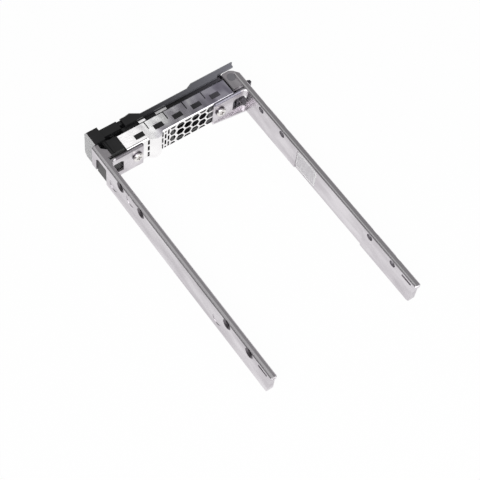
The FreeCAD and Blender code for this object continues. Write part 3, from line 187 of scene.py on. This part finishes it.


# ------------------------------------------------------------------ tones laid on a finish: painted light and shade
def rail_skin(tree, shade):
    """Painted light and shade on the two rails.

    The tops carry painted shade, but for a painted highlight strip along the edge on the button
    side and a painted highlight line on the hinge-side rail's top. The cross tabs' tops carry
    darker painted shade. The countersinks carry painted shade: the distance from a hole's axis is
    found by folding the rail's length twice about the middle of its hole pattern, because the four
    holes stand in two equal pairs."""
    x, y, z = spot(tree)
    across = away(tree, x, 0.0)
    top = (z, RAIL_TOP - 0.2 * MM, RAIL_TOP - 0.1 * MM)
    # Painted highlight: a near-white strip along the top's outer edge on the button side.
    strip_edge = RAIL_OUT - DRESSED_STRIP
    # Painted shade: the rails' tops are coloured a darker grey.
    cast = zone(tree, (x, strip_edge, strip_edge - 0.25 * MM), top)
    strip = add(tree, "ShaderNodeMath", {0: zone(tree, top), 1: cast}, operation="SUBTRACT")
    hinge_side = (x, 0.001 * MM, 0.0)
    hinge = zone(tree, hinge_side)
    # Painted highlight: a near-white line along the hinge-side rail's top.
    line = LIGHT_LINE - RAIL_OUT
    inner = zone(tree, hinge_side, (x, line - 0.1 * MM, line),
                 (x, line + 0.55 * MM, line + 0.45 * MM), top)
    # Painted shade: the cross tabs' tops are coloured darker, less so on the hinge side.
    tab = zone(tree, (across, RAIL_OUT - TAB_REACH, RAIL_OUT - TAB_REACH - 0.4 * MM),
               (z, RAIL_TOP - 1.3 * MM, RAIL_TOP - 1.1 * MM), (y, 9.0 * MM, 9.1 * MM))
    # Painted shade: the countersinks are coloured dark, less so on the hinge side.
    fold = away(tree, away(tree, y, HOLES_MIDDLE), HOLES_HALF_PITCH)
    section = add(tree, "ShaderNodeCombineXYZ", {"X": away(tree, fold, HOLES_HALF_STEP),
                                                 "Y": away(tree, z, RAIL_TOP - HOLE_DROP)})
    reach = add(tree, "ShaderNodeVectorMath", {0: section}, operation="LENGTH")
    hole = zone(tree, ((reach, "Value"), HOLE_MOUTH, HOLE_MOUTH - 0.15 * MM),
                (across, RAIL_OUT - 0.06 * MM, RAIL_OUT - 0.12 * MM),
                (across, RAIL_OUT - 2.8 * MM, RAIL_OUT - 2.7 * MM),
                (z, RAIL_TOP - 0.35 * MM, RAIL_TOP - 0.45 * MM))
    return coat(tree, shade, (cast, "#C2BEC2"), (strip, "#F4F1F4"), (inner, "#FBF9FB"),
                (tab, coat(tree, linear("#7C787D"), (hinge, "#9D9AA6"))),
                (hole, coat(tree, linear("#6F6A6F"), (hinge, "#B0ACB2"))))


def screw_skin(tree, shade):
    """A tab screw is bright on its face; its sides carry painted shade in dark grey."""
    y = spot(tree)[1]
    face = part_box("tab_screw_button_side")[1][1]
    bright = zone(tree, (y, face - 1.15 * MM, face - 0.75 * MM))
    # Painted shade: the head's sides below its face are coloured dark grey.
    return coat(tree, linear("#57535A"), (bright, shade))


def strip_skin(tree, shade):
    """The flanges' fingers carry painted reflections: cloudy light and dark patches, cooler
    towards the hinge.
    """
    x, _, z = spot(tree)
    flange = (z, RAIL_TOP - 0.3 * MM, RAIL_TOP - 0.12 * MM)
    # Painted reflection: cloudy light and dark patches on the fingers.
    cloud = grain(tree, 6.0, (1, 0.45, 1), detail=1.0)
    patch = add(tree, "ShaderNodeValToRGB", {"Fac": cloud},
                [(0.4, "#B4B1B8"), (0.52, "#DCDADF"), (0.6, "#FFFFFF")])
    shade = coat(tree, shade, (zone(tree, flange, (x, 15.0 * MM, 11.0 * MM)), patch))
    # Painted reflection: a cooler, darker tone on the fingers towards the hinge.
    return coat(tree, shade, (zone(tree, flange, (x, -2.0 * MM, -22.0 * MM)), "#D6D2E0"),
                blend="MULTIPLY")


def hinge_fade(tree, shade):
    """The black handle greys towards its hinge end: a painted sheen."""
    x = spot(tree)[0]
    # Painted sheen: the colour lightens towards the hinge end.
    curve = add(tree, "ShaderNodeMath", {0: zone(tree, (x, 12.0 * MM, -36.0 * MM)), 1: 1.15},
                operation="POWER")
    return coat(tree, shade, (curve, "#7E7E86"))


def frame_key(tree, shade):
    """The frame greys towards its hinge end, a painted sheen; its face in the side window is
    painted a brownish dark grey as shade.
    """
    x = spot(tree)[0]
    # Painted sheen towards the hinge end, and painted shade on the face seen in the button-side
    # window.
    return coat(tree, shade, (zone(tree, (x, -8.0 * MM, -30.0 * MM)), "#4C4A51"),
                (zone(tree, (x, 35.0 * MM, 36.5 * MM)), "#221E20"))


# ------------------------------------------------------------------ finishes
# Die-cast aluminium, bead blasted: pale, even and satin, with a slight violet cast; painted shade
# and painted highlights are laid on.
cast_aluminium = metal("die_cast_aluminium_blasted", "#C4BFC4", "#E0DCE0", 0.36, 0.4, 0.06,
                       tint=rail_skin)
# Stainless spring strip, bright rolled: near mirror, with a faint rolling grain along X; painted
# reflections are laid on its flange.
bright_strip = metal("stainless_strip_bright_rolled", "#F4F2F3", "#FDFCFC", 0.14, 0.12, 0.06,
                     stretch=(0.04, 1, 1), wave=0.12, tint=strip_skin)
# Cast aluminium lever in its dark chromate: brownish grey and duller than the rails.
dark_aluminium = metal("die_cast_aluminium_dark_chromate", "#5A575F", "#6B6870", 0.45, 0.25, 0.4)
# Nickel-plated steel screws: bright, hard highlights.
nickel = metal("steel_nickel_plated", "#DAD7D6", "#EAE7E4", 0.28, 0.3, 0.05)
# The same on the two tab screws, with painted shade on their heads' sides.
tab_nickel = metal("steel_nickel_plated_tab", "#E2DFDE", "#EEEBE9", 0.3, 0.3, 0.03,
                   tint=screw_skin)
# Ground steel pin and washers: bright with a fine grain.
ground_steel = metal("steel_ground", "#A9A8AE", "#B9B8BE", 0.33, 0.15, 0.2)
# Hard-drawn spring wire: greyish, smooth.
drawn_wire = metal("spring_steel_drawn", "#8F8E93", "#A09FA4", 0.3, 0.15, 0.1)
# PC/ABS moulding, black, fine grain: deep grey with a soft sheen; painted sheen and painted shade
# are laid on the frame.
black_abs = plastic("abs_black_moulded", "#171718", "#1F1F20", 0.4, tint=frame_key)
# The handle's own black PC/ABS: same grain, with a painted sheen that greys it at the hinge.
handle_abs = plastic("abs_black_handle", "#181819", "#202021", 0.4, tint=hinge_fade)
# PC/ABS moulding, pale grey and smoother than the black: an even, soft end plate.
pale_abs = plastic("abs_pale_grey_moulded", "#C2C2C3", "#C9C9CA", 0.5, bump=0.05)


def clear_guide():
    """Clear polycarbonate: see-through, with flow marks that cloud it here and there."""
    material, tree = new_material("polycarbonate_clear_moulded")
    flow = add(tree, "ShaderNodeMapRange", {"Value": grain(tree, 1.2, (1, 0.3, 1)),
                                            "From Min": 0.35, "From Max": 0.65,
                                            "To Min": 0.07, "To Max": 0.2})
    shader = add(tree, "ShaderNodeBsdfPrincipled", {
        "Base Color": linear("#E8EEEE"), "Roughness": flow, "IOR": 1.58,
        "Transmission Weight": 0.85})
    add(tree, "ShaderNodeOutputMaterial", {"Surface": shader})
    return material


def label_film():
    """Matt polyester film: pale edge, and a slightly greyer field inside it."""
    material, tree = new_material("polyester_film_matt")
    _, y, z = spot(tree)
    edges = [(away(tree, value, middle * MM), (half + 0.15) * MM, half * MM)
             for value, middle, half in zip((y, z), LABEL_MIDDLE, (5.9, 4.4))]
    tooth = add(tree, "ShaderNodeValToRGB", {"Fac": grain(tree, 0.4)},
                [(0.35, "#D3D0D4"), (0.65, "#E8E5E9")])
    shade = coat(tree, linear("#FAF9FA"), (zone(tree, *edges), tooth))
    shader = add(tree, "ShaderNodeBsdfPrincipled", {"Base Color": shade, "Roughness": 0.38})
    add(tree, "ShaderNodeOutputMaterial", {"Surface": shader})
    return material


clear_pc = clear_guide()
FINISHES = {
    "button_side_rail": cast_aluminium, "hinge_side_rail": cast_aluminium,
    "emi_shield": bright_strip, "lever_arm": dark_aluminium,
    "front_frame": black_abs, "release_button": black_abs, "handle_cover": handle_abs,
    "end_plate": pale_abs, "light_pipe_lower": clear_pc, "light_pipe_upper": clear_pc,
    "tab_screw_button_side": tab_nickel, "tab_screw_hinge_side": tab_nickel,
    "handle_screw_outer": nickel, "handle_screw_inner": nickel, "hinge_pin": ground_steel,
    "hinge_washer_lower": ground_steel, "hinge_washer_upper": ground_steel,
    "lever_spring": drawn_wire, "button_spring": drawn_wire,
}
for name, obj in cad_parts.items():
    for held in obj.material_slots:
        held.material = FINISHES[name]


# ------------------------------------------------------------------ small slabs
def slab(name, centre, across, up, half_wide, half_high, corner, thick, edge, finish, body):
    """Slab with rounded corners and soft front edge, standing on centre. Sizes in millimetres.

    Its outline is the superellipse |u/a|^n + |v/b|^n = 1 in the plane of across and up, where
    n grows as the corner shrinks. Ring k is that outline drawn in by inset[k] and lifted by
    rise[k] along across x up, a quarter round at the front edge, and both ends close in a pole."""
    count = 64
    centre = np.array(centre, float) * MM
    half_wide, half_high, corner, thick, edge = (
        size * MM for size in (half_wide, half_high, corner, thick, edge))
    power = 2 * min(half_wide, half_high) / corner
    turn = np.arange(count) * 2 * math.pi / count
    c, s = np.cos(turn), np.sin(turn)
    unit = np.stack([np.sign(c) * np.abs(c) ** (2 / power),
                     np.sign(s) * np.abs(s) ** (2 / power)], axis=1)
    bend = np.linspace(0, math.pi / 2, 5)
    inset = np.concatenate([[0.5 * half_high, 0.0], edge * (1 - np.cos(bend)), [0.5 * half_high]])
    rise = np.concatenate([[0.0, 0.0], thick - edge + edge * np.sin(bend), [thick]])
    rings = len(inset)
    flat = unit[None] * np.stack([half_wide - inset, half_high - inset], axis=1)[:, None]
    across, up = np.array(across, float), np.array(up, float)
    out = np.cross(across, up)
    points = centre + flat[..., :1] * across + flat[..., 1:] * up + rise[:, None, None] * out
    poles = np.array([centre, centre + thick * out])
    k, i = np.meshgrid(np.arange(rings - 1), np.arange(count), indexing="ij")
    after = (i + 1) % count
    quads = np.stack([k * count + i, k * count + after, (k + 1) * count + after,
                      (k + 1) * count + i], axis=-1).reshape(-1, 4)
    ring = np.arange(count)
    following = (ring + 1) % count
    last = (rings - 1) * count
    pole = np.full(count, rings * count)
    back = np.stack([pole, following, ring], axis=-1)
    front = np.stack([pole + 1, last + ring, last + following], axis=-1)
    mesh = bpy.data.meshes.new(name)
    mesh.from_pydata(np.concatenate([points.reshape(-1, 3), poles]).tolist(), [],
                     quads.tolist() + back.tolist() + front.tolist())
    mesh.shade_smooth()
    mesh.materials.append(finish)
    made = bpy.data.objects.new(name, mesh)
    bpy.context.collection.objects.link(made)
    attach(made, body)


# Satin label without print in the relief of the hinge-side rail.
slab("bare_label", (2.35 - RAIL_OUT / MM, *LABEL_MIDDLE), (0, 1, 0), (0, 0, 1),
     6.75, 5.3, 0.9, 0.1, 0.04, label_film(), "carrier")
# Ear of the front frame behind the window of the hinge-side tab, clear of the tooth's swing.
slab("frame_ear", (-31.1, 8.2, 6.0), (-1, 0, 0), (0, 0, 1),
     1.85, 4.4, 0.5, 0.9, 0.25, black_abs, "carrier")
# Ledge at that ear's foot, under the tooth.
slab("frame_ledge", (-31.9, 7.6, 1.0), (-1, 0, 0), (0, 0, 1),
     2.9, 0.7, 0.3, 1.5, 0.2, black_abs, "carrier")
# Shoulder of the handle's latch end, beside the release button.
slab("latch_shoulder", (20.9, -4.75, 4.2), (1, 0, 0), (0, 1, 0),
     0.98, 1.05, 0.3, 9.6, 0.25, handle_abs, "lever")


# ------------------------------------------------------------------ studio
def floor():
    """Square sheet, z = 0 at the carrier's foot: pure white to the eye but for its shadow."""
    half = 3.0
    white_share = 0.965
    corners = [(-half, -half, 0), (half, -half, 0), (half, half, 0), (-half, half, 0)]
    mesh = bpy.data.meshes.new("studio_floor")
    mesh.from_pydata(corners, [], [(0, 1, 2, 3)])
    sheet = bpy.data.objects.new("studio_floor", mesh)
    bpy.context.collection.objects.link(sheet)
    material, tree = new_material("white_paper_sweep")
    paper = add(tree, "ShaderNodeBsdfDiffuse", {"Color": linear("#F4F4F4")})
    glow = add(tree, "ShaderNodeEmission", {"Color": (1, 1, 1, 1), "Strength": 1.0})
    path = add(tree, "ShaderNodeLightPath")
    seen = add(tree, "ShaderNodeMath", {0: (path, "Is Camera Ray"), 1: (path, "Is Glossy Ray")},
               operation="MAXIMUM")
    seen = add(tree, "ShaderNodeMath", {0: seen, 1: (path, "Is Transmission Ray")},
               operation="MAXIMUM")
    share = add(tree, "ShaderNodeMath", {0: seen, 1: white_share}, operation="MULTIPLY")
    mixed = add(tree, "ShaderNodeMixShader", {0: share, 1: paper, 2: glow})
    add(tree, "ShaderNodeOutputMaterial", {"Surface": mixed})
    mesh.materials.append(material)


def softbox(name, place, behind, size, watts, bounces=0):
    """Rectangular area lamp at place, which faces away from the direction behind it.

    bounces is how often its light may bounce on before it is dropped."""
    lamp = bpy.data.lights.new(name, "AREA")
    lamp.shape = "RECTANGLE"
    lamp.size, lamp.size_y = size
    lamp.energy = watts
    lamp.cycles.max_bounces = bounces
    body = bpy.data.objects.new(name, lamp)
    body.location = place
    body.rotation_mode = "QUATERNION"
    body.rotation_quaternion = (-behind).to_track_quat("-Z", "Y")
    bpy.context.collection.objects.link(body)


def studio():
    """Dim room, white to the camera, with a key softbox, one for the shield's fold and a card."""
    world = bpy.data.worlds.new("studio")
    bpy.context.scene.world = world
    world.use_nodes = True
    tree = world.node_tree
    tree.nodes.clear()
    path = add(tree, "ShaderNodeLightPath")
    place = add(tree, "ShaderNodeTexCoord")
    parts = add(tree, "ShaderNodeSeparateXYZ", {"Vector": (place, "Generated")})
    level = add(tree, "ShaderNodeMapRange", {"Value": (parts, "Z"), "From Min": 0.35,
                                             "From Max": 0.85, "To Min": 0.17, "To Max": 0.36})
    room = add(tree, "ShaderNodeBackground", {"Color": linear("#FFFFFF"), "Strength": level})
    white = add(tree, "ShaderNodeBackground", {"Color": (1, 1, 1, 1), "Strength": 1.0})
    mixed = add(tree, "ShaderNodeMixShader", {0: (path, "Is Camera Ray"), 1: room, 2: white})
    add(tree, "ShaderNodeOutputWorld", {"Surface": mixed})
    key = Vector((0.45, 0.5, 0.75)).normalized()
    fold = Vector((-0.354, 0.72, 0.6)).normalized()
    softbox("key_softbox", TARGET + key * 1.1, key, (0.9, 0.9), 9.0, bounces=1)
    softbox("fold_softbox", TARGET + fold * 0.8, fold, (0.3, 1.1), 2.0)
    softbox("shield_card", (-0.158, -0.275, 0.505), Vector((0, 0, 1)), (0.055, 0.07), 0.0118)


def camera():
    """Camera that looks down on the carrier, rolled about its axis."""
    lens = bpy.data.cameras.new("camera")
    lens.sensor_width = SENSOR
    lens.lens = FOCAL / SIDE * SENSOR
    lens.shift_x = -(AXIS[0] - SIDE / 2) / SIDE
    lens.shift_y = (AXIS[1] - SIDE / 2) / SIDE
    lens.clip_start = 0.01
    body = bpy.data.objects.new("camera", lens)
    ahead = -BACK
    right = ahead.cross(Vector((0, 0, 1))).normalized()
    up = right.cross(ahead)
    right, up = (right * math.cos(ROLL) + up * math.sin(ROLL),
                 up * math.cos(ROLL) - right * math.sin(ROLL))
    turn = Matrix((right, up, BACK)).transposed().to_4x4()
    body.matrix_world = Matrix.Translation(TARGET + BACK * DISTANCE) @ turn
    bpy.context.collection.objects.link(body)
    bpy.context.scene.camera = body


floor()
studio()
camera()
bpy.context.scene.view_settings.view_transform = "Standard"
